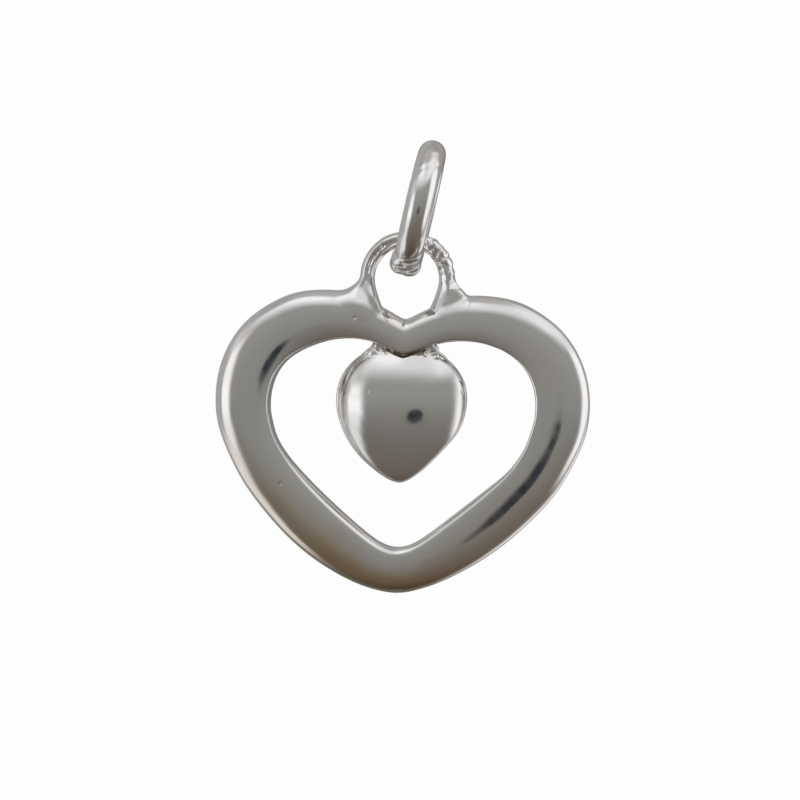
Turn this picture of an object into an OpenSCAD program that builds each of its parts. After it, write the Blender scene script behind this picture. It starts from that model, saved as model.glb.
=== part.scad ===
// Heart pendant in polished silver: an open heart cast in one piece with the small domed
// heart inside it and the eye on top, hanging from a round-wire jump ring.
// Millimetres, +Z up, front towards -Y. The origin is inside the top of the jump ring,
// where a chain or cord bears.

/* [Jump ring] */
// Diameter of the ring's round wire
wire_d = 1.02; // [0.8:0.02:1.1]
// Clear width inside the ring
ring_bore = 3.1; // [2.8:0.1:3.6]
// Lean of the ring towards the right, in degrees
ring_lean = 11; // [0:0.2:14]
// Gap between the ring's wire and the metal of the eye that hangs on it
hang_gap = 0.06; // [0.03:0.01:0.1]

/* [Open heart] */
// Width of the open heart across its two lobes
heart_w = 14; // [12:0.5:18]
// Thickness of the band from front to back
band_depth = 1.45; // [1.1:0.05:1.8]
// How far the band's crest lies towards the opening, as a share of half the band's width
crest_shift = 0.35; // [0:0.05:0.45]

/* [Small heart] */
// Thickness of the small heart from front to back
small_depth = 2.1; // [1.5:0.1:2.6]
// Distance of the dome's highest point to the right of the middle
dome_side = 0.25; // [0:0.05:0.5]
// Height of the dome's highest point, measured from the height of the band's widest place
dome_height = -0.15; // [-0.4:0.05:0.4]

/* [Eye] */
// Radius of the eye's round hole
eye_hole_r = 1.2; // [1.15:0.01:1.3]
// Thickness of the eye's arch from front to back
eye_depth = 0.72; // [0.6:0.02:0.9]
// Height of the eye's centre above the notch of the open heart
eye_rise = 1.53; // [1.5:0.01:1.6]

/* [Hidden] */

silver = [0.80, 0.80, 0.79];

// Radius of the round shape that the small heart's outline turns into at the dome's top
round_r = 2.3;

// Smoothness: steps between two rows of a table, and sides of each section
band_steps = 3;
band_sides = 18;
eye_steps = 3;
eye_sides = 12;
small_steps = 4;
small_rings = 12;
wire_facets = 48;
bridge_facets = 10;
bridge_turn = 13;

// The tables below are for a heart of this width, and heart_w scales them
table_w = 14;
grow = heart_w / table_w;

// Right half of the band, from the notch down to the tip.
// x and z of the outer edge, x and z of the inner edge, share of band_depth
band_rows = [
    [0.00,  3.36,  0.00,  2.18, 0.84],
    [0.22,  3.46,  0.25,  2.22, 0.85],
    [0.62,  3.68,  0.68,  2.35, 0.88],
    [1.25,  3.98,  1.32,  2.54, 0.94],
    [2.15,  4.33,  2.00,  2.63, 0.98],
    [3.20,  4.38,  2.70,  2.58, 1.00],
    [4.20,  4.22,  3.30,  2.40, 1.00],
    [5.15,  3.76,  3.86,  2.13, 1.00],
    [6.00,  3.07,  4.37,  1.70, 1.00],
    [6.60,  2.17,  4.71,  1.12, 1.00],
    [6.93,  1.15,  4.86,  0.52, 1.00],
    [7.00,  0.10,  4.88, -0.08, 1.00],
    [6.85, -0.85,  4.79, -0.55, 1.00],
    [6.42, -1.88,  4.58, -1.18, 1.00],
    [5.82, -2.93,  4.13, -1.88, 1.00],
    [5.04, -3.92,  3.54, -2.53, 1.00],
    [4.13, -4.86,  2.76, -3.28, 1.00],
    [3.13, -5.65,  1.97, -3.98, 1.00],
    [2.13, -6.24,  1.20, -4.61, 0.99],
    [1.12, -6.66,  0.58, -5.01, 0.97],
    [0.00, -6.87,  0.00, -5.15, 0.96],
];

// Right half of the small heart's outline, from its cleft down to its tip: x and z
small_rows = [
    [0.00,  1.95],
    [0.22,  2.04],
    [0.62,  2.22],
    [1.05,  2.25],
    [1.52,  2.02],
    [1.98,  1.57],
    [2.29,  1.02],
    [2.40,  0.35],
    [2.28, -0.42],
    [1.98, -1.14],
    [1.53, -1.78],
    [0.98, -2.28],
    [0.42, -2.63],
    [0.00, -2.75],
];

// Right half of the eye, from the top of its arch to the foot of its leg in the band.
// Angle from the top, radius inside as a share of eye_hole_r, radius outside in mm,
// share of eye_depth
eye_rows = [
    [  0, 1.00, 1.75, 1.00],
    [ 30, 1.00, 1.80, 1.00],
    [ 58, 1.00, 1.80, 1.00],
    [ 80, 1.00, 1.78, 1.05],
    [ 91, 1.00, 1.80, 1.15],
    [ 97, 1.00, 1.94, 1.28],
    [102, 1.00, 2.30, 1.40],
    [108, 1.00, 2.56, 1.48],
    [121, 1.03, 2.25, 1.50],
    [135, 1.09, 1.98, 1.45],
    [147, 1.20, 1.80, 1.30],
];

// The casting metal left between the small heart and the band, from left to right:
// x, y, z in the small heart, z in the band, radius
bridge_rows = [
    [-1.22,  0.03, 2.02, 2.54, 0.14],
    [-1.00,  0.01, 2.06, 2.50, 0.22],
    [-0.70, -0.02, 2.06, 2.43, 0.24],
    [-0.45, -0.03, 1.98, 2.34, 0.17],
    [-0.20,  0.02, 1.90, 2.26, 0.12],
    [ 0.08,  0.03, 1.86, 2.24, 0.11],
    [ 0.38,  0.01, 1.94, 2.30, 0.13],
    [ 0.66, -0.02, 2.04, 2.40, 0.19],
    [ 0.92, -0.03, 2.06, 2.47, 0.23],
    [ 1.16,  0.02, 2.00, 2.53, 0.14],
];

// Places worked out from the sizes above
wire_r = wire_d / 2;
ring_r = (ring_bore + wire_d) / 2;
lean_dir = [sin(ring_lean), 0, cos(ring_lean)];
ring_centre = -(ring_r - wire_r) * lean_dir;
ring_foot = ring_centre - ring_r * lean_dir;
eye_z = band_rows[0][1] * grow + eye_rise;
wire_in_eye_z = eye_z + eye_hole_r - hang_gap - wire_r;
charm_place = ring_foot - [0, 0, wire_in_eye_z];

// One point of a smooth curve between rows q and r, with p before them and s after them
function smooth(p, q, r, s, t) =
    q + 0.5 * t * ((r - p) + t * ((2 * p - 5 * q + 4 * r - s) + t * (3 * q - p - 3 * r + s)));

// A closed list of rows with more rows between, all on one smooth curve
function smooth_loop(rows, steps) =
    let (n = len(rows))
    [for (i = [0 : n - 1]) for (k = [0 : steps - 1])
        smooth(rows[(i + n - 1) % n], rows[i], rows[(i + 1) % n], rows[(i + 2) % n], k / steps)];

// The same for a list with two ends
function smooth_run(rows, steps) =
    let (n = len(rows))
    [for (i = [0 : n - 2]) for (k = [0 : i == n - 2 ? steps : steps - 1])
        smooth(rows[max(i - 1, 0)], rows[i], rows[i + 1], rows[min(i + 2, n - 1)], k / steps)];

// A whole outline from its right half: the left half has the columns in flip turned over
function with_left_half(rows, flip) =
    concat(rows, [for (i = [len(rows) - 2 : -1 : 1])
        [for (c = [0 : len(rows[i]) - 1]) rows[i][c] * flip[c]]]);

// Points around a domed section that reaches from one edge point to the other
function section(outer, inner, half_depth, shift, sides, start = 0) =
    [for (j = [0 : sides - 1])
        let (a = 360 * (j + start) / sides,
             across = cos(a) - shift * pow(sin(a), 2),
             middle = (outer + inner) / 2 + across * (outer - inner) / 2)
        [middle[0], -half_depth * sin(a), middle[1]]];

function flatten(lists) = [for (list = lists) for (item = list) item];

// Two triangles for each place on a skin of n sections with the given number of sides
function skin(n, sides, closed) =
    [for (i = [0 : closed ? n - 1 : n - 2]) for (j = [0 : sides - 1])
        let (a = i * sides + j,
             b = i * sides + (j + 1) % sides,
             c = ((i + 1) % n) * sides + j,
             d = ((i + 1) % n) * sides + (j + 1) % sides)
        each [[a, c, b], [b, c, d]]];

// A body swept through its sections, closed on itself or capped at both ends
module sweep(sections, closed) {
    n = len(sections);
    sides = len(sections[0]);
    last = (n - 1) * sides;
    caps = closed ? [] : [[for (j = [0 : sides - 1]) j],
                          [for (j = [sides - 1 : -1 : 0]) last + j]];
    polyhedron(points = flatten(sections), faces = concat(skin(n, sides, closed), caps));
}

// The open heart's band
module band() {
    rows = smooth_loop(with_left_half(band_rows, [-1, 1, -1, 1, 1]), band_steps);
    sections = [for (row = rows)
        section(grow * [row[0], row[1]], grow * [row[2], row[3]],
                row[4] * band_depth / 2, crest_shift, band_sides)];
    sweep(sections, closed = true);
}

// A point of the small heart's outline drawn in towards the dome's top. The nearer it comes
// to the top, the rounder the shape it lies on.
function drawn_in(p, top, reach) =
    let (out = p - top,
         kept = pow(reach, 1.5))
    top + reach * (kept + (1 - kept) * grow * round_r / norm(out)) * out;

// The small heart, domed front and back from its outline
module small_heart() {
    outline = grow * smooth_loop(with_left_half(small_rows, [-1, 1]), small_steps);
    n = len(outline);
    top = grow * [dome_side, dome_height];
    rings = [for (k = [1 : small_rings - 1])
        let (a = 180 * k / small_rings,
             y = -small_depth / 2 * cos(a))
        [for (p = outline)
            let (q = drawn_in(p, top, sin(a)))
            [q[0], y, q[1]]]];
    tips = [[top[0], -small_depth / 2, top[1]], [top[0], small_depth / 2, top[1]]];
    count = len(rings) * n;
    front = [for (j = [0 : n - 1]) [count, j, (j + 1) % n]];
    back = [for (j = [0 : n - 1]) [count + 1, count - n + (j + 1) % n, count - n + j]];
    polyhedron(points = concat(flatten(rings), tips),
               faces = concat(skin(len(rings), n, false), front, back));
}

// The eye: an arch whose two legs flare into the shoulders of the band
module eye() {
    half = smooth_run(eye_rows, eye_steps);
    left = [for (i = [len(half) - 1 : -1 : 1])
        [-half[i][0], half[i][1], half[i][2], half[i][3]]];
    rows = concat(left, half);
    sections = [for (row = rows)
        let (way = [sin(row[0]), cos(row[0])],
             centre = [0, eye_z])
        section(centre + row[2] * way, centre + row[1] * eye_hole_r * way,
                row[3] * eye_depth / 2, 0, eye_sides, 0.5)];
    sweep(sections, closed = false);
}

// The metal between the small heart and the band: two bridges with a thin web between them
module bridges() {
    for (i = [0 : len(bridge_rows) - 2])
        hull()
            for (row = [bridge_rows[i], bridge_rows[i + 1]])
                for (z = [row[2], row[3]])
                    translate([row[0] * grow, row[1], z * grow])
                        rotate([0, 0, bridge_turn])
                            sphere(r = row[4], $fn = bridge_facets);
}

// The casting: band, small heart, bridges and eye in one piece of metal
module heart_charm() {
    color(silver)
        translate(charm_place)
            union() {
                band();
                small_heart();
                eye();
                bridges();
            }
}

// The jump ring: a round wire bent to a ring, soldered shut
module jump_ring() {
    color(silver)
        translate(ring_centre)
            rotate([0, ring_lean, 0])
                rotate([0, 90, 0])
                    rotate_extrude($fn = wire_facets)
                        translate([ring_r, 0])
                            circle(r = wire_r, $fn = wire_facets / 2);
}

jump_ring();
heart_charm();
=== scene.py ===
"""The looks of a polished silver heart pendant: a cast charm that hangs on a soldered jump ring.

Each piece is the level surface of a field, so that its parts run into each other with small
fillets, as cast and soldered metal does. The fields are in millimetres. The charm has a frame
of its own, with its origin at the middle of the open heart: x right, y to the back and z up.
"""

import math

import bpy
import numpy as np
from mathutils import Matrix, Vector


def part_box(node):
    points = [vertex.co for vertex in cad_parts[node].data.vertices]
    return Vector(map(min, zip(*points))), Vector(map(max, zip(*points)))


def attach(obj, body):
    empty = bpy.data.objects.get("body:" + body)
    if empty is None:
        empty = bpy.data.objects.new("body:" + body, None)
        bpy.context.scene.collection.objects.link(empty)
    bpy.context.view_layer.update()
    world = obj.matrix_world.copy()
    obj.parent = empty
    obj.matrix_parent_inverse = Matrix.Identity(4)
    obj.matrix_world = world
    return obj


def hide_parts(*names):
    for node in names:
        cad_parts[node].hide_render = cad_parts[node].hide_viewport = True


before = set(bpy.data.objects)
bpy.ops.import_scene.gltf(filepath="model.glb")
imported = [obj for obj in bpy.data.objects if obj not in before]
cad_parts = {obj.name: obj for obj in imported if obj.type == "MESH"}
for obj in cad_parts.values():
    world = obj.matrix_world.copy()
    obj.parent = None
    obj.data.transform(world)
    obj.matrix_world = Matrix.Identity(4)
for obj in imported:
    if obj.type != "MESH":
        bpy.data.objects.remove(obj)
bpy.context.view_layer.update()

MM = 0.001

# The right half of the band, from the notch down to the tip, for a heart of TABLE_WIDTH. Its
# depth is a share of BAND_DEPTH, and the edge that is rounded is the one to the opening.
TABLE_WIDTH = 14.0
BAND_DEPTH = 1.45
BAND_ROWS = [
    # outer x, outer z, inner x, inner z, depth, rounding
    [0.00, 3.36, 0.00, 2.09, 0.90, 0.08],
    [0.22, 3.46, 0.25, 2.15, 0.91, 0.08],
    [0.62, 3.68, 0.68, 2.32, 0.93, 0.08],
    [1.25, 3.98, 1.32, 2.53, 0.96, 0.08],
    [2.15, 4.33, 2.00, 2.63, 1.00, 0.08],
    [3.20, 4.38, 2.70, 2.58, 1.03, 0.08],
    [4.20, 4.22, 3.30, 2.40, 1.04, 0.08],
    [5.15, 3.76, 3.86, 2.13, 1.03, 0.08],
    [6.00, 3.07, 4.37, 1.70, 1.01, 0.08],
    [6.60, 2.17, 4.71, 1.12, 1.00, 0.08],
    [6.93, 1.15, 4.86, 0.52, 1.00, 0.08],
    [7.00, 0.10, 4.88, -0.08, 1.00, 0.08],
    [6.85, -0.85, 4.79, -0.55, 1.00, 0.08],
    [6.42, -1.88, 4.58, -1.18, 1.00, 0.10],
    [5.82, -2.93, 4.13, -1.88, 1.00, 0.17],
    [5.04, -3.92, 3.54, -2.53, 1.00, 0.26],
    [4.13, -4.86, 2.76, -3.28, 0.99, 0.30],
    [3.13, -5.65, 1.97, -3.98, 0.96, 0.32],
    [2.13, -6.24, 1.20, -4.61, 0.92, 0.32],
    [1.12, -6.66, 0.58, -5.01, 0.89, 0.32],
    [0.00, -6.87, 0.00, -5.15, 0.88, 0.32],
]

# How the band, finished by hand, differs from an even heart: how much nearer to the middle its
# outer edge and its inner edge lie, and how far its crest lies towards the opening, as a share of
# half the width. Degrees are clockwise from the top.
UNEVEN_ROWS = [
    # degrees, outer edge, inner edge, crest
    [-150, 0.00, 0.00, 0.32],
    [-118, 0.00, -0.04, 0.29],
    [-108, 0.00, -0.09, 0.31],
    [-82, 0.00, -0.10, 0.35],
    [-70, 0.00, -0.05, 0.29],
    [-60, 0.00, 0.06, 0.24],
    [-45, 0.00, 0.05, 0.25],
    [-25, 0.00, 0.00, 0.25],
    [10, 0.00, 0.00, 0.32],
    [40, 0.07, 0.00, 0.40],
    [55, 0.075, -0.09, 0.44],
    [65, 0.075, -0.10, 0.47],
    [85, 0.035, -0.09, 0.58],
    [100, 0.035, -0.04, 0.67],
    [118, 0.01, -0.11, 0.64],
    [130, 0.07, -0.01, 0.52],
    [145, 0.125, 0.05, 0.45],
    [160, 0.14, 0.08, 0.41],
    [172, 0.09, 0.08, 0.39],
    [180, 0.04, 0.03, 0.37],
]

# The right half of the small heart's outline, from its cleft down to its tip
SMALL_ROWS = [
    # x, z
    [0.00, 1.95],
    [0.22, 2.04],
    [0.62, 2.22],
    [1.05, 2.25],
    [1.52, 2.02],
    [1.98, 1.57],
    [2.29, 1.02],
    [2.40, 0.35],
    [2.28, -0.42],
    [1.98, -1.14],
    [1.53, -1.78],
    [0.98, -2.28],
    [0.42, -2.63],
    [0.00, -2.75],
]

# How the small heart differs from an even one: how much nearer to the middle its edge lies, and
# how far the edge drops, as a share of EDGE_DROP
SMALL_UNEVEN_ROWS = [
    # degrees, edge, drop
    [-180, 0.03, 0.3],
    [-152, 0.02, 1.0],
    [-125, -0.04, 1.35],
    [-95, -0.09, 1.1],
    [-60, -0.08, 0.9],
    [-30, -0.03, 0.5],
    [0, 0.00, 0.3],
    [40, 0.00, 0.35],
    [60, -0.03, 0.5],
    [80, 0.00, 0.9],
    [101, 0.02, 1.0],
    [115, 0.08, 1.0],
    [129, 0.19, 0.8],
    [145, 0.22, 0.6],
    [157, 0.17, 0.45],
    [171, 0.09, 0.3],
]

# The small heart's thickness, where its dome is highest, and how wide and high the oval is whose
# shape the dome takes there
SMALL_DEPTH = 2.1
DOME_TOP = (-0.05, 0.11)
DOME_ROUND = (3.05, 2.36)

# The eye, clockwise from its left foot over the top of its arch to its right foot: radius inside
# as a share of EYE_HOLE, radius outside, depth as a share of EYE_DEPTH, how far the crest lies
# towards the hole, and how square the edge to the hole is
EYE_CENTRE = (0.0, 4.89)
EYE_HOLE = 1.2
EYE_DEPTH = 0.72
EYE_ROWS = [
    # degrees, inside, outside, depth, crest, square
    [-158, 1.46, 2.05, 1.20, 0.00, 7.0],
    [-147, 1.26, 2.05, 1.50, 0.05, 7.0],
    [-135, 1.11, 2.12, 1.66, 0.10, 7.0],
    [-121, 1.03, 2.30, 1.56, 0.12, 7.0],
    [-108, 1.00, 2.48, 1.28, 0.10, 6.0],
    [-102, 1.00, 2.20, 1.14, 0.05, 5.0],
    [-97, 1.00, 1.89, 1.05, 0.00, 4.0],
    [-91, 1.00, 1.74, 1.00, 0.00, 2.5],
    [-58, 1.00, 1.76, 1.00, 0.00, 2.5],
    [-30, 1.00, 1.78, 1.00, 0.00, 2.5],
    [0, 1.00, 1.75, 1.00, 0.00, 2.5],
    [30, 1.00, 1.80, 1.00, 0.00, 2.5],
    [58, 1.00, 1.80, 1.00, 0.00, 2.5],
    [80, 1.00, 1.78, 1.00, -0.10, 2.5],
    [91, 1.00, 1.80, 1.04, -0.20, 2.5],
    [97, 1.00, 1.94, 1.12, -0.26, 2.5],
    [102, 1.00, 2.30, 1.24, -0.30, 2.5],
    [108, 1.00, 2.48, 1.38, -0.32, 2.5],
    [121, 1.03, 2.55, 1.60, -0.32, 2.5],
    [135, 1.11, 2.48, 1.66, -0.30, 2.5],
    [147, 1.26, 2.42, 1.35, -0.30, 2.5],
    [158, 1.46, 2.40, 1.05, -0.30, 2.5],
]

# A flat place on the outside of the eye's right leg: a point in it, how far it faces to the
# right, half its width and height, and how steeply it ends
FACET_AT = (1.72, -0.305, 4.72)
FACET_TURN = math.radians(38)
FACET_HALF_WIDE = 0.3
FACET_HALF_HIGH = 0.17
FACET_STEEP = 8

# The groove along the left side of the eye's arch: where it lies across the arch and how wide it
# is, both as shares of half the width, its middle and its reach in degrees, its depth, how much
# that varies, and over which distance
GROOVE_ACROSS = -0.10
GROOVE_WIDE = 0.24
GROOVE_TURN = -60
GROOVE_REACH = 36
GROOVE_DEPTH = 0.06
GROOVE_ROUGH = 0.035
GROOVE_GRAIN = 0.2

# The casting metal left between the small heart and the band, as rounded ridges
BRIDGE_ROWS = [
    # left x, left z, y, right x, right z, radius
    [-1.00, 2.24, 0.02, -0.40, 2.15, 0.26],
    [-0.40, 2.15, 0.02, 0.40, 2.13, 0.26],
    [0.40, 2.15, 0.02, 1.05, 2.24, 0.26],
    [-1.36, 1.98, -0.06, -0.98, 2.34, 0.17],
    [-0.98, 2.34, -0.18, -0.28, 2.29, 0.15],
    [-1.16, 2.10, -0.20, -0.40, 2.07, 0.17],
    [-0.40, 2.03, -0.20, 0.40, 2.02, 0.18],
    [0.40, 2.28, -0.20, 1.02, 2.38, 0.13],
    [0.48, 2.12, -0.20, 1.12, 2.14, 0.14],
    [1.12, 2.14, -0.08, 1.42, 1.96, 0.14],
]

# The fillets where one part of the casting runs into the next. The one round the eye grows
# towards the feet of its legs: on the left and the right side, from where and over how far, and
# by how much.
BRIDGE_FILLET = 0.10
SMALL_FILLET = 0.12
BAND_FILLET = 0.07
EYE_FILLET = 0.10
LEG_FILLET_ROWS = [
    # side, start, length, growth
    [-1, 0.9, 0.9, 0.44],
    [1, 1.7, 0.9, 0.14],
]

# Small dents left by the casting
PIT_ROWS = [
    # x, z, radius, depth
    [-1.83, 3.35, 0.050, 0.030],
    [-4.37, -2.88, 0.045, 0.040],
    [-1.24, 0.61, 0.050, 0.010],
]

# Places where the metal is rough, with the height of the lumps there. They lie ROUGH_GRAIN apart
# and fade out over ROUGH_FADE, at ROUGH_DEEP from the heart's plane.
ROUGH_GRAIN = 0.25
ROUGH_DEEP = 0.50
ROUGH_FADE = 0.15
ROUGH_ROWS = [
    # x, z, radius, height
    [1.05, 6.35, 0.50, 0.060],
    [1.45, 5.75, 0.52, 0.085],
    [1.62, 5.20, 0.32, 0.050],
    [-1.25, 6.20, 0.40, 0.020],
    [-1.15, 2.24, 0.26, 0.026],
    [-0.70, 2.24, 0.30, 0.034],
    [0.00, 2.10, 0.35, 0.012],
    [0.75, 2.20, 0.32, 0.042],
    [1.12, 2.16, 0.26, 0.042],
    [2.12, 0.95, 0.28, 0.010],
]

# How uneven polishing by hand left the whole charm
WAVE_HEIGHT = 0.003

# A painted reflection of the brown below: how brown the band is painted on its lower outer side,
# and where that lies between the inner edge, 0, and the outer edge, 1
PAINTED_BROWN_WIDE = 0.28
PAINTED_BROWN_ROWS = [
    # degrees, share, place
    [-180, 1.00, 0.76],
    [-160, 0.90, 0.74],
    [-140, 0.85, 0.72],
    [-125, 0.70, 0.74],
    [-108, 0.15, 0.70],
    [-90, 0.00, 0.74],
    [90, 0.00, 0.74],
    [115, 0.20, 0.74],
    [140, 0.30, 0.74],
    [160, 0.58, 0.76],
]

# The jump ring, and how far it is turned round the upright line, which the hang leaves free
WIRE = 1.02
RING_TURN = math.radians(2.8)

# Solder at the ring's foot, in the ring's own frame: degrees from the foot to the front, how far
# outwards of the wire's middle, and x. Its roughness lies round a middle, both in degrees.
SOLDER_FILLET = 0.08
SOLDER_ROUGH = 0.014
SOLDER_GRAIN = 0.45
SOLDER_TURN = 20
SOLDER_REACH = 15
SOLDER_ROWS = [
    # degrees, outwards, x, radius
    [8, 0.14, -0.24, 0.40],
    [12, 0.16, 0.12, 0.43],
    [24, 0.12, -0.18, 0.42],
    [33, 0.06, 0.02, 0.46],
]

# The seam where the wire's ends meet, and slanting nicks across the front of the wire: degrees
# from the foot, depth, half width in degrees, and slant in degrees a millimetre
SEAM_ROW = [36, 0.025, 1.1, 6]
NICK_ROWS = [
    # degrees, depth, half width, slant
    [124, 0.010, 3.0, 16],
    [137, 0.006, 3.0, 16],
]

# Where each surface's points lie, along x, y and z: where they start, and then where each run
# of them ends and how far apart they are in it. SETTLE_REACH is how far each may move on to the
# surface in one round.
SETTLE_REACH = 0.03
CHARM_GRID = [
    (-7.15, [(-2.45, 0.09), (2.45, 0.05), (7.2, 0.09)]),
    (-1.2, [(1.25, 0.056)]),
    (-7.05, [(-2.9, 0.09), (1.7, 0.064), (6.85, 0.047)]),
]
RING_GRID = [(-0.8, [(0.8, 0.045)]), (-2.8, [(2.8, 0.045)]), (-2.8, [(2.8, 0.045)])]

# Where the solids are, and how much larger their heart is than the table's
charm_low, charm_high = (np.array(corner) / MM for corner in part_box("heart_charm"))
ring_low, ring_high = (np.array(corner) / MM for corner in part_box("jump_ring"))
GROW = float(charm_high[0] - charm_low[0]) / TABLE_WIDTH
CHARM_AT = np.array([
    (charm_low[0] + charm_high[0]) / 2, 0.0, charm_low[2] - BAND_ROWS[-1][1] * GROW])
RING_AT = (ring_low + ring_high) / 2
RING_RADIUS = (ring_high[1] - ring_low[1] - WIRE) / 2
RING_LEAN = math.asin(((ring_high[0] - ring_low[0]) - WIRE) / 2 / RING_RADIUS)


# Curves and outlines

def smooth_loop(rows, steps):
    """A closed list of rows with more rows between, on one smooth curve."""
    rows = np.asarray(rows, float)
    t = (np.arange(steps) / steps)[None, :, None]
    p, q, r, s = (np.roll(rows, k, 0)[:, None, :] for k in (1, 0, -1, -2))
    square, cube = 2 * p - 5 * q + 4 * r - s, 3 * q - p - 3 * r + s
    curve = q + 0.5 * t * ((r - p) + t * (square + t * cube))
    return curve.reshape(-1, rows.shape[1])


def with_left_half(rows, flip):
    """A whole outline from its right half: the left half has the columns in flip turned over."""
    rows = np.asarray(rows, float)
    return np.vstack([rows, rows[-2:0:-1] * flip])


def by_angle(angle, value, soften):
    """A smooth function of the angle from the top, through the given values all round. soften is
    over how many degrees its bends are rounded."""
    steps = 2880
    even = np.linspace(-np.pi, np.pi, steps, endpoint=False)
    table = np.interp(even, angle, value, period=2 * np.pi)
    offset = np.minimum(np.arange(steps), steps - np.arange(steps)) * 360 / steps
    kernel = np.exp(-0.5 * (offset / soften) ** 2)
    table = np.fft.irfft(np.fft.rfft(table) * np.fft.rfft(kernel / kernel.sum()), steps)
    return lambda at: np.interp(at, even, table, period=2 * np.pi)


def by_degrees(rows, soften):
    """For a table with degrees in its first column, a smooth function of each other column."""
    degrees, *columns = np.array(rows, float).T
    return [by_angle(np.radians(degrees), column, soften) for column in columns]


def outline(points, centre, soften):
    """Distance from the centre to a closed line, as a function of the angle from the top."""
    dx, dz = points[:, 0] - centre[0], points[:, 1] - centre[1]
    return by_angle(np.arctan2(dx, dz), np.hypot(dx, dz), soften)


def polar(p, centre):
    """Angle from the top and distance of each point from a centre in the plane of the heart."""
    dx, dz = p[..., 0] - centre[0], p[..., 2] - centre[1]
    return np.arctan2(dx, dz), np.hypot(dx, dz)


band_loop = smooth_loop(with_left_half(BAND_ROWS, [-1, 1, -1, 1, 1, 1]), steps=24)
small_loop = smooth_loop(with_left_half(SMALL_ROWS, [-1, 1]), steps=24)
HEART_CENTRE = (0.0, 0.0)
band_outside = outline(band_loop[:, 0:2], HEART_CENTRE, soften=1.8)
band_inside = outline(band_loop[:, 2:4], HEART_CENTRE, soften=1.2)
band_angle = np.arctan2(band_loop[:, 0], band_loop[:, 1])
band_share, band_corner = (by_angle(band_angle, band_loop[:, k], soften=3.0) for k in (4, 5))
trim_outside, trim_inside, band_crest = by_degrees(UNEVEN_ROWS, soften=5.0)
painted_brown_share, painted_brown_middle = by_degrees(PAINTED_BROWN_ROWS, soften=6.0)
small_trim, small_edge = by_degrees(SMALL_UNEVEN_ROWS, soften=4.0)
small_outside = outline(small_loop, DOME_TOP, soften=1.5)
dome_outside = outline(small_loop, DOME_TOP, soften=28.0)
eye_inner, eye_outer, eye_half, eye_crest, eye_square = by_degrees(
    np.array(EYE_ROWS, float) * [1, EYE_HOLE, 1, EYE_DEPTH / 2, 1, 1], soften=3.0)


# Fields: below 0 inside the metal, above 0 outside, and close to a distance near the surface

def join(a, b, fillet):
    """Two bodies of metal in one, with a fillet between them."""
    reach = np.maximum(fillet - np.abs(a - b), 0) / fillet
    return np.minimum(a, b) - reach * reach * fillet / 4


def cut(a, b, edge):
    """The metal that lies within two bodies, with the edge between their surfaces rounded."""
    over = np.hypot(np.maximum(a + edge, 0), np.maximum(b + edge, 0))
    return np.minimum(np.maximum(a, b) + edge, 0) + over - edge


def oval(across, deep, half_width, half_depth, flat=2.0):
    """Field of an oval section: across runs from -1 to 1 over the width, deep is in millimetres.
    flat is 2 for an ellipse and more for a flatter crest."""
    wide = np.abs(across) + 1e-9
    high = deep / half_depth
    far = np.sqrt(wide ** flat + high * high) + 1e-9
    steep = np.hypot(flat / 2 * wide ** (flat - 1) / half_width, high / half_depth) + 1e-6
    return (far - 1) * far / steep


def leaning(s, k):
    """An even run from -1 to 1 across a section, changed so that 0 lies k nearer to -1, and how
    much that stretches it."""
    k = np.where(np.abs(k) < 1e-3, 1e-3, k)
    side = np.sign(k)
    k, s = np.abs(k), s * side
    root = np.sqrt(np.maximum(1 + 4 * k * (k + s), 1e-6))
    across = np.where(s > -1, (root - 1) / (2 * k), -1 + (s + 1) / (1 - 2 * k))
    return across * side, np.where(s > -1, root, 1 - 2 * k)


BAND_FLAT = 2.75  # how flat the band's outer side is near the crest
INNER_REACH = 1.37  # how far from the crest its inner side would come down, if no wall cut it


def band_field(p):
    """The band: an oval section, whose inner side ends in a straight wall."""
    angle, r = polar(p, HEART_CENTRE)
    inside = band_inside(angle) - trim_inside(angle)
    outside = band_outside(angle) - trim_outside(angle)
    half_width = (outside - inside) / 2
    shift = band_crest(angle)
    off_crest = r - inside - (1 - shift) * half_width
    reach = np.where(off_crest < 0, INNER_REACH, (1 + shift) * half_width)
    flat = np.where(off_crest < 0, 2.0, BAND_FLAT)
    face = oval(off_crest / reach, p[..., 1], reach, band_share(angle) * BAND_DEPTH / 2, flat)
    return cut(face, inside - r, band_corner(angle))


DOME_DROP = 0.66  # how far the evenly round dome falls to its edge
EDGE_DROP = 0.20  # how far its edge, which is steeper, falls besides
EDGE_POWER = 6  # how suddenly that begins
EDGE_ROUND = 0.06  # how far the edge itself is rounded
RIM_BEAD = 0.08  # radius of the thin rounded rim on its left
RIM_FLAT = 0.8  # its width as a share of its depth from front to back
RIM_FILLET = 0.02  # between the rim and the dome


def small_field(p):
    """The small heart: a dome in front and behind, with a rim on its left."""
    angle, r = polar(p, DOME_TOP)
    outside, even = small_outside(angle) - small_trim(angle), dome_outside(angle)
    middle = 1 / np.hypot(np.sin(angle) / DOME_ROUND[0], np.cos(angle) / DOME_ROUND[1])
    # the dome's level lines: like its outline at the edge, and like the oval near its top
    reach = r / even
    for _ in range(5):
        kept = np.minimum(reach, 1)
        reach = r / (kept * even + (1 - kept) * middle)
    edge = EDGE_DROP * small_edge(angle) * (r / even) ** EDGE_POWER
    drop = DOME_DROP * reach ** 2 + edge
    steep = (2 * (drop - edge) + EDGE_POWER * edge) / np.maximum(r, 1e-6)
    dome = (np.abs(p[..., 1]) - SMALL_DEPTH / 2 + drop) / np.sqrt(1 + steep * steep)
    rim = RIM_BEAD * np.clip(-3 * np.sin(angle), 0, 1)
    dome = cut(dome, r - outside + rim, EDGE_ROUND)
    bead = np.hypot(r - outside + rim, p[..., 1] * RIM_FLAT) - rim
    return join(dome, bead, RIM_FILLET)


EYE_FLAT = 2.5  # how flat the eye's outer side is near the crest


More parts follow.
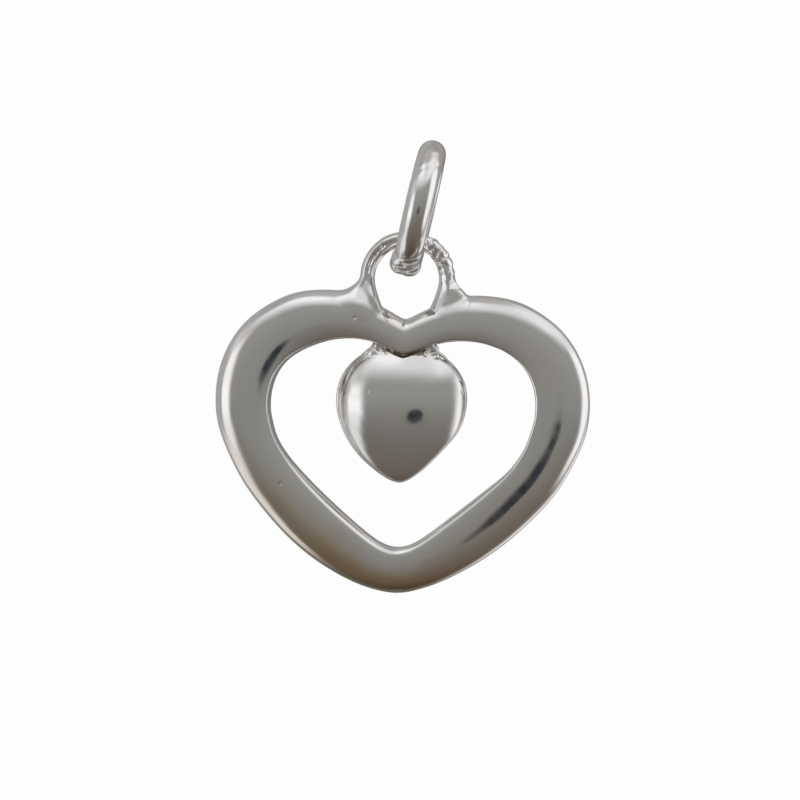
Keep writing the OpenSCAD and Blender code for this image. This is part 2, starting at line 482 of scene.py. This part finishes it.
def eye_field(p):
    """The eye and its two flared legs, cut off at their feet inside the band."""
    angle, r = polar(p, EYE_CENTRE)
    inner, outer = eye_inner(angle), eye_outer(angle)
    half_width = (outer - inner) / 2
    across, stretch = leaning((r - inner) / half_width - 1, eye_crest(angle))
    flat = np.where(across < 0, eye_square(angle), EYE_FLAT)
    arch = oval(across, p[..., 1], half_width * stretch, eye_half(angle), flat)
    off_groove = (np.degrees(angle) - GROOVE_TURN) / GROOVE_REACH
    strip = np.exp(-((across - GROOVE_ACROSS) / GROOVE_WIDE) ** 2 - off_groove ** 4)
    groove = strip * (GROOVE_DEPTH + GROOVE_ROUGH * crinkle(p, GROOVE_GRAIN))
    arch = np.maximum(arch + groove, (np.abs(angle) - math.radians(EYE_ROWS[-1][0])) * r)
    x, y, z = p[..., 0] - FACET_AT[0], p[..., 1] - FACET_AT[1], p[..., 2] - FACET_AT[2]
    facet = x * math.sin(FACET_TURN) - y * math.cos(FACET_TURN)
    beyond = np.maximum(np.abs(z) - FACET_HALF_HIGH, 0) + np.maximum(np.abs(x) - FACET_HALF_WIDE, 0)
    return np.maximum(arch, facet - FACET_STEEP * beyond)


def rod(p, a, b, radius):
    """Field of a round rod between two points, with round ends."""
    a, b = np.asarray(a, float), np.asarray(b, float)
    along = np.clip((p - a) @ (b - a) / ((b - a) @ (b - a)), 0, 1)
    return np.linalg.norm(p - a - along[..., None] * (b - a), axis=-1) - radius


def bridge_field(p):
    """The bridges between the small heart and the band."""
    metal = None
    for x_left, z_left, y, x_right, z_right, radius in BRIDGE_ROWS:
        ridge = rod(p, (x_left, y, z_left), (x_right, y, z_right), radius)
        metal = ridge if metal is None else join(metal, ridge, BRIDGE_FILLET)
    return metal


def crinkle(p, size):
    """Uneven lumps with creases between them, about a size apart, from -1 to 1."""
    total = 0
    for k in range(5):
        way = np.array([math.cos(2.4 * k + 0.4), 0.5 * math.sin(1.7 * k), math.sin(2.4 * k + 0.4)])
        bend = 0.8 * np.sin(p @ way[[2, 0, 1]] * 2.3 / size + k)
        total = total + np.abs(np.sin(p @ way * math.pi / (size * (1 + 0.22 * k)) + 1.3 * k + bend))
    return total / 2.5 - 1.25


def waves(p):
    """The slight unevenness that polishing by hand leaves, from -1 to 1."""
    total = 0
    for k in range(4):
        way = np.array([math.cos(1.9 * k), 0.3, math.sin(1.9 * k)]) * (2.6 + 0.9 * k)
        total = total + np.sin(p @ way + 2.1 * k + 0.9 * np.sin(p @ way[[2, 0, 1]] * 0.7))
    return total / 4


def rough_parts(p):
    """How much the casting's rough places raise the metal."""
    total = 0
    for x, z, radius, height in ROUGH_ROWS:
        near = np.exp(-((p[..., 0] - x) ** 2 + (p[..., 2] - z) ** 2) / radius ** 2)
        total = np.maximum(total, near * height)
    deep = np.clip((ROUGH_DEEP - np.abs(p[..., 1])) / ROUGH_FADE, 0, 1)
    return total * deep * crinkle(p, ROUGH_GRAIN)


def pits(p):
    """How deep the small dents in the front are."""
    total = 0
    for x, z, radius, depth in PIT_ROWS:
        far = ((p[..., 0] - x) ** 2 + (p[..., 2] - z) ** 2) / radius ** 2
        total = total + depth * np.exp(-far) * (p[..., 1] < 0)
    return total


def charm_field(p):
    """The whole casting."""
    hanging = join(small_field(p), bridge_field(p), SMALL_FILLET)
    hearts = join(band_field(p), hanging, BAND_FILLET)
    fillet = EYE_FILLET
    for side, start, length, growth in LEG_FILLET_ROWS:
        share = np.clip((side * p[..., 0] - start) / length, 0, 1)
        fillet = fillet + growth * share * share * (3 - 2 * share)
    whole = join(hearts, eye_field(p), fillet)
    return whole - rough_parts(p) - WAVE_HEIGHT * waves(p) + pits(p)


def painted_brown(p):
    """How much of the painted reflection of the brown below the charm's metal has, from 0 to 1."""
    angle, r = polar(p, HEART_CENTRE)
    inside, outside = band_inside(angle), band_outside(angle)
    across = (r - inside) / (outside - inside)
    return painted_brown_share(angle) * np.exp(-((across - painted_brown_middle(angle)) / PAINTED_BROWN_WIDE) ** 2)


def ring_field(p):
    """The jump ring in its own frame: round the x axis, with its foot at the lowest z."""
    round_way = np.hypot(p[..., 1], p[..., 2])
    metal = np.hypot(round_way - RING_RADIUS, p[..., 0]) - WIRE / 2
    turn = np.degrees(np.arctan2(-p[..., 1], -p[..., 2]))

    def nick(degrees, depth, half_width, slant):
        return depth * np.exp(-((turn - degrees - slant * p[..., 0]) / half_width) ** 2)

    for degrees, outwards, x, radius in SOLDER_ROWS:
        a, far = math.radians(degrees), RING_RADIUS + outwards
        middle = np.array([x, -far * math.sin(a), -far * math.cos(a)])
        metal = join(metal, np.linalg.norm(p - middle, axis=-1) - radius, SOLDER_FILLET)
    for row in NICK_ROWS:
        metal = metal + nick(*row)
    outer_side = np.clip((round_way - RING_RADIUS + 0.4) / 0.2, 0, 1)
    rough = np.exp(-((turn - SOLDER_TURN) / SOLDER_REACH) ** 2) * outer_side
    return metal + nick(*SEAM_ROW) - SOLDER_ROUGH * rough * crinkle(p, SOLDER_GRAIN)


# Surfaces

def slope(field, points, step=0.004):
    """How a field grows along each axis, at each point."""
    return np.stack([
        (field(points + step * way) - field(points - step * way)) / (2 * step) for way in np.eye(3)
    ], -1)


def settle(field, points, reach, rounds=4):
    """Points moved on to the surface of a field, by at most the reach in each round."""
    for _ in range(rounds):
        steep = slope(field, points)
        back = (field(points) / np.maximum((steep * steep).sum(-1), 0.1))[:, None] * steep
        points = points - np.clip(back, -reach, reach)
    return points


def level_surface(field, grid):
    """Points and four-sided faces of the surface where a field is 0, one point in each cell of a
    grid that the surface runs through."""
    axes = []
    for start, runs in grid:
        places = [start]
        for end, spacing in runs:
            steps = math.ceil((end - places[-1]) / spacing)
            places += list(np.linspace(places[-1], end, steps + 1)[1:])
        axes.append(np.array(places))
    value = field(np.stack(np.meshgrid(*axes, indexing="ij"), -1))
    inside = value < 0
    nx, ny, nz = np.array(inside.shape) - 1
    corners = [np.array(c) for c in np.ndindex(2, 2, 2)]
    full = sum(inside[c[0]:c[0] + nx, c[1]:c[1] + ny, c[2]:c[2] + nz].astype(int) for c in corners)
    mixed = (full > 0) & (full < 8)
    cells = np.argwhere(mixed)
    number = np.full(mixed.shape, -1)
    number[mixed] = np.arange(len(cells))

    def at(places):
        return np.stack([axis[place] for axis, place in zip(axes, places.T)], 1)

    total, hits = np.zeros((len(cells), 3)), np.zeros((len(cells), 1))
    for corner in corners:
        for way in np.eye(3, dtype=int)[corner == 0]:
            near, far = cells + corner, cells + corner + way
            here, there = value[tuple(near.T)], value[tuple(far.T)]
            crossed = ((here < 0) != (there < 0))[:, None]
            share = (here / np.where(here == there, 1, here - there))[:, None]
            total += np.where(crossed, at(near) + share * (at(far) - at(near)), 0)
            hits += crossed
    points = total / hits

    faces = []
    for axis in range(3):
        way, u, v = (np.eye(3, dtype=int)[(axis + k) % 3] for k in range(3))
        ends, starts = [slice(None)] * 3, [slice(None)] * 3
        ends[axis], starts[axis] = slice(None, -1), slice(1, None)
        place = np.argwhere(inside[tuple(ends)] != inside[tuple(starts)])
        quad = np.stack([number[tuple((place - step).T)] for step in (0 * u, u, u + v, v)], 1)
        faces.append(np.where(inside[tuple(place.T)][:, None], quad, quad[:, ::-1]))
    return settle(field, points, SETTLE_REACH), np.vstack(faces)


# Corners near other metal are darkened in colour: oxide, and painted shade
CREVICE_LOOK = 0.16  # how far off other metal still makes a corner dark


def metal_piece(name, field, grid, place, turn, painted_brownness=None):
    """A piece of metal from its field. turn and place carry its own frame into the scene's."""
    points, faces = level_surface(field, grid)
    outward = slope(field, points)
    outward /= np.linalg.norm(outward, axis=1)[:, None]
    # how closely other metal surrounds each point, for the oxide and painted shade in corners
    hidden = np.clip(1 - field(points + CREVICE_LOOK * outward) / CREVICE_LOOK, 0, 1)
    mesh = bpy.data.meshes.new(name)
    mesh.from_pydata(((points @ turn.T) + place) * MM, [], faces)
    mesh.shade_smooth()
    # a painted reflection of the brown below, low on the band's outer side
    painted_browned = painted_brownness(points) if painted_brownness else np.zeros(len(points))
    for layer, values in (("crevice", hidden), ("painted_brown", painted_browned)):
        mesh.attributes.new(layer, "FLOAT", "POINT").data.foreach_set("value", values)
    mesh.normals_split_custom_set_from_vertices(outward @ turn.T / GROW)
    piece = bpy.data.objects.new(name, mesh)
    bpy.context.scene.collection.objects.link(piece)
    return piece


# Materials

# Silver: its two tints, the brown of a painted reflection of the brown below, its colour deep in
# its corners, which is oxide and painted shade, its roughness and how much duller its corners are,
# noise of both sizes for each metre, and the ripple's depth
TINTS = (0.885, 0.890, 0.875, 1), (0.915, 0.885, 0.860, 1)
# the colour of the painted reflection of the brown below
PAINTED_BROWN_COLOUR = (0.77, 0.60, 0.39, 1)
# the colour in corners: oxide, and painted shade
CORNER_OXIDE_AND_SHADE = (0.52, 0.46, 0.40, 1)
ROUGHNESS = 0.12
CORNER_DULL = 0.12
CLOUD_SCALE = 460.0
RIPPLE_SCALE = 2400.0
RIPPLE_DEPTH = 0.0010


class Nodes:
    """Adds nodes to an emptied node tree, each linked to what it is given."""

    def __init__(self, tree):
        self.tree = tree
        tree.nodes.clear()

    def add(self, kind, inputs=None, out=0, **settings):
        """A node with these inputs, linked or set. Gives one of its outputs, if it has any."""
        node = self.tree.nodes.new(kind)
        for key, value in settings.items():
            setattr(node, key, value)
        for key, value in (inputs or {}).items():
            if isinstance(value, bpy.types.NodeSocket):
                self.tree.links.new(value, node.inputs[key])
            else:
                node.inputs[key].default_value = value
        return node.outputs[out] if len(node.outputs) else None

    def noise(self, place, scale, detail):
        return self.add(
            "ShaderNodeTexNoise", {"Vector": place, "Scale": scale, "Detail": detail}, out=0)

    def layer(self, name):
        """The value that each point of the mesh has in a named layer."""
        return self.add("ShaderNodeAttribute", attribute_name=name, out=2)

    def math(self, operation, *values):
        return self.add("ShaderNodeMath", dict(enumerate(values)), operation=operation)

    def ramp(self, value, low, high, to_low=0.0, to_high=1.0):
        """Goes smoothly from to_low to to_high as the value goes from low to high."""
        limits = {"From Min": low, "From Max": high, "To Min": to_low, "To Max": to_high}
        return self.add(
            "ShaderNodeMapRange", {"Value": value, **limits}, interpolation_type="SMOOTHSTEP")

    def mix(self, share, a, b):
        """Colour a where the share is 0 and b where it is 1."""
        return self.add("ShaderNodeMix", {"Factor": share, "A": a, "B": b}, data_type="RGBA", out=2)


def new_material(name):
    material = bpy.data.materials.new(name)
    material.use_nodes = True
    return material, Nodes(material.node_tree)


def silver(name):
    """Polished silver: slightly uneven in tint and polish, darker with oxide and painted shade and
    duller in its corners, and brown low on the band with a painted reflection of the brown below.
    """
    material, nodes = new_material(name)
    place = nodes.add("ShaderNodeTexCoord", out=3)
    clouds = nodes.noise(place, CLOUD_SCALE, 4.0)
    ripple = nodes.noise(place, RIPPLE_SCALE, 3.0)
    # darker in the corners: oxide, and painted shade
    oxide_and_shade = nodes.ramp(nodes.layer("crevice"), 0.35, 0.95)
    colour = nodes.mix(nodes.ramp(clouds, 0.36, 0.64), *TINTS)
    # a painted reflection of the brown below, low on the band's outer side
    painted_browned = nodes.math(
        "MULTIPLY", nodes.layer("painted_brown"), nodes.ramp(clouds, 0.25, 0.60, 0.70, 1.0))
    colour = nodes.mix(painted_browned, colour, PAINTED_BROWN_COLOUR)
    colour = nodes.mix(oxide_and_shade, colour, CORNER_OXIDE_AND_SHADE)
    polish = nodes.ramp(ripple, 0.3, 0.7, ROUGHNESS - 0.02, ROUGHNESS + 0.03)
    dull = nodes.math("ADD", polish, nodes.math("MULTIPLY", oxide_and_shade, CORNER_DULL))
    dent = nodes.add(
        "ShaderNodeBump", {"Height": ripple, "Strength": 1.0, "Distance": RIPPLE_DEPTH * MM})
    shader = nodes.add("ShaderNodeBsdfPrincipled", {
        "Base Color": colour, "Metallic": 1.0, "Roughness": dull, "Normal": dent})
    nodes.add("ShaderNodeOutputMaterial", {"Surface": shader})
    return material


# Surroundings

CAMERA_AZIMUTH = math.radians(4.0)
WHITE = (0.985, 0.985, 0.985, 1)

# The dark camera lens, as turn and rise from the camera, and from how many degrees off its middle
# its edge runs in to how many
LENS_TURN = math.radians(3.8)
LENS_RISE = math.radians(-9.0)
LENS_EDGE = (7.7, 6.3)
LENS_COLOUR = (0.022, 0.025, 0.034, 1)

# What the silver reflects behind all else: DARKEST straight below, and lighter upwards, in steps
# that each lie between two rises above the camera, in degrees
DARKEST = (0.080, 0.058, 0.045, 1)
RISE_ROWS = [
    # rises, light
    [(-90, -42), (0.160, 0.142, 0.124, 1)],
    [(-46, -18), (0.190, 0.179, 0.167, 1)],
    [(-30, 20), (0.295, 0.298, 0.283, 1)],
]

# In front of that stand the room's darker and lighter sides and its soft boxes, later rows over
# earlier ones: the turns to the right of the camera and the rises above it that each lies between,
# and how soft its edges are, all in degrees. The left soft box leans, so it has a row for each
# height.
DARK_BACK = (0.17, 0.16, 0.15, 1)
ROOM_ROWS = [
    # turns, rises, softness, light
    [(98, 400), (-55, 48), 12, (0.34, 0.335, 0.33, 1)],
    [(-400, -88), (-32, 50), 12, (0.40, 0.40, 0.40, 1)],
    [(-102, -48), (12, 50), 10, (0.44, 0.44, 0.44, 1)],
    [(-400, 400), (58, 100), 13, (0.44, 0.43, 0.43, 1)],
    [(-75, 128), (36, 74), 12, (0.74, 0.74, 0.76, 1)],
    [(-62, -12), (50, 72), 8, (0.98, 0.98, 1.00, 1)],
    [(30, 104), (40, 68), 10, (0.86, 0.85, 0.87, 1)],
    [(-100, -74), (22, 36), 6, (0.60, 0.60, 0.61, 1)],
    [(-78, -50), (6, 24), 8, (0.98, 0.98, 1.00, 1)],
    [(-82, -46), (-14, 10), 8, (1.05, 1.05, 1.07, 1)],
    [(-84, -54), (-25, -8), 8, (0.90, 0.90, 0.92, 1)],
    [(-88, -63), (-37, -19), 8, (0.76, 0.76, 0.78, 1)],
    [(-94, -72), (-49, -31), 7, (0.74, 0.74, 0.75, 1)],
    [(-122, -81), (-52, -20), 8, (0.80, 0.80, 0.81, 1)],
    [(62, 118), (-22, 32), 12, (0.50, 0.49, 0.51, 1)],
    [(68, 114), (-6, 36), 10, (1.02, 1.01, 1.04, 1)],
    [(68, 98), (-30, 5), 9, (1.02, 1.01, 1.04, 1)],
    [(118, 150), (-50, -10), 8, (0.85, 0.85, 0.86, 1)],
    [(158, 400), (-95, 12), 20, DARK_BACK],
    [(-400, -158), (-95, 12), 20, DARK_BACK],
]


def surroundings():
    """White behind the object, and around it the soft room that the silver reflects."""
    world = bpy.data.worlds.new("studio")
    world.use_nodes = True
    bpy.context.scene.world = world
    nodes = Nodes(world.node_tree)
    way = nodes.add("ShaderNodeTexCoord", out=0)

    def along(*direction):
        return nodes.add(
            "ShaderNodeVectorMath", {0: way, 1: direction}, operation="DOT_PRODUCT", out=1)

    right = along(math.cos(CAMERA_AZIMUTH), math.sin(CAMERA_AZIMUTH), 0)
    near = along(math.sin(CAMERA_AZIMUTH), -math.cos(CAMERA_AZIMUTH), 0)
    up = nodes.add("ShaderNodeSeparateXYZ", {0: way}, out=2)
    degrees = 180 / math.pi
    turn = nodes.math("MULTIPLY", nodes.math("ARCTAN2", right, near), degrees)
    rise = nodes.math("MULTIPLY", nodes.math("ARCSINE", up), degrees)

    def panel(turns, rises, soft):
        """1 between these turns and rises, and 0 outside them."""
        mask = None
        for value, (low, high) in ((turn, turns), (rise, rises)):
            for edge, side in ((low, 1), (high, -1)):
                part = nodes.ramp(value, edge - side * soft, edge + side * soft)
                mask = part if mask is None else nodes.math("MULTIPLY", mask, part)
        return mask

    colour = DARKEST
    for rises, light in RISE_ROWS:
        colour = nodes.mix(nodes.ramp(rise, *rises), colour, light)
    for turns, rises, soft, light in ROOM_ROWS:
        colour = nodes.mix(panel(turns, rises, soft), colour, light)
    lens = Vector((
        math.sin(LENS_TURN), math.cos(LENS_TURN) * math.cos(LENS_RISE), math.sin(LENS_RISE)))
    towards_lens = nodes.math("MULTIPLY", right, lens[0])
    for part, share in ((near, lens[1]), (up, lens[2])):
        towards_lens = nodes.math("ADD", towards_lens, nodes.math("MULTIPLY", part, share))
    off_lens = nodes.math("MULTIPLY", nodes.math("ARCCOSINE", towards_lens), degrees)
    colour = nodes.mix(nodes.ramp(off_lens, *LENS_EDGE), colour, LENS_COLOUR)
    seen = nodes.add("ShaderNodeLightPath", out=0)
    colour = nodes.mix(seen, colour, WHITE)
    light = nodes.add("ShaderNodeBackground", {"Color": colour, "Strength": 1.0})
    nodes.add("ShaderNodeOutputWorld", {"Surface": light})


FLOOR_DROP = 110.0
FLOOR_SIZE = 2400.0


def floor():
    """A pale lit floor under the hanging pendant, which only the camera sees."""
    bpy.ops.mesh.primitive_plane_add(size=FLOOR_SIZE * MM, location=(0, 0, -FLOOR_DROP * MM))
    plane = bpy.context.object
    plane.name = "floor"
    material, nodes = new_material("floor_white")
    light = nodes.add("ShaderNodeEmission", {"Color": WHITE, "Strength": 1.0})
    nodes.add("ShaderNodeOutputMaterial", {"Surface": light})
    plane.data.materials.append(material)
    plane.visible_glossy = plane.visible_diffuse = False


# The camera's distance, how wide the picture is at the heart, in pixels by pixels a millimetre,
# its roll, and what lies in its middle, to the right of the heart's middle and above it
CAMERA_FAR = 120.0
PICTURE_WIDE = 800 / 26.86
CAMERA_ROLL = math.radians(2.0)
PICTURE_CENTRE = (-0.098, 0.368)


def camera():
    """The photograph's view, from the front and a little to the right."""
    a, roll = CAMERA_AZIMUTH, CAMERA_ROLL
    right = Vector((math.cos(a), math.sin(a), 0))
    up = Vector((0, 0, 1))
    towards = Vector((math.sin(a), -math.cos(a), 0))
    across, high = PICTURE_CENTRE
    centre = Vector(CHARM_AT) + GROW * (across * right + high * up)
    data = bpy.data.cameras.new("camera")
    data.sensor_width = 36.0
    data.lens = data.sensor_width * CAMERA_FAR / (PICTURE_WIDE * GROW)
    data.clip_start, data.clip_end = 0.01, 2.0
    view = bpy.data.objects.new("camera", data)
    view.matrix_world = Matrix.Translation((centre + CAMERA_FAR * towards) * MM) @ Matrix((
        math.cos(roll) * right + math.sin(roll) * up,
        math.cos(roll) * up - math.sin(roll) * right,
        towards)).transposed().to_4x4()
    bpy.context.scene.collection.objects.link(view)
    bpy.context.scene.camera = view


# Build

charm = metal_piece("cast_charm", charm_field, CHARM_GRID, CHARM_AT, GROW * np.eye(3), painted_brown)
charm.data.materials.append(silver("cast_silver"))
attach(charm, "charm")
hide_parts("heart_charm")

ring_turn = Matrix.Rotation(RING_TURN, 3, "Z") @ Matrix.Rotation(RING_LEAN, 3, "Y")
ring = metal_piece("soldered_ring", ring_field, RING_GRID, RING_AT, np.array(ring_turn))
ring.data.materials.append(silver("ring_silver"))
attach(ring, "ring")
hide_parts("jump_ring")

surroundings()
floor()
camera()
bpy.context.scene.view_settings.view_transform = "Standard"
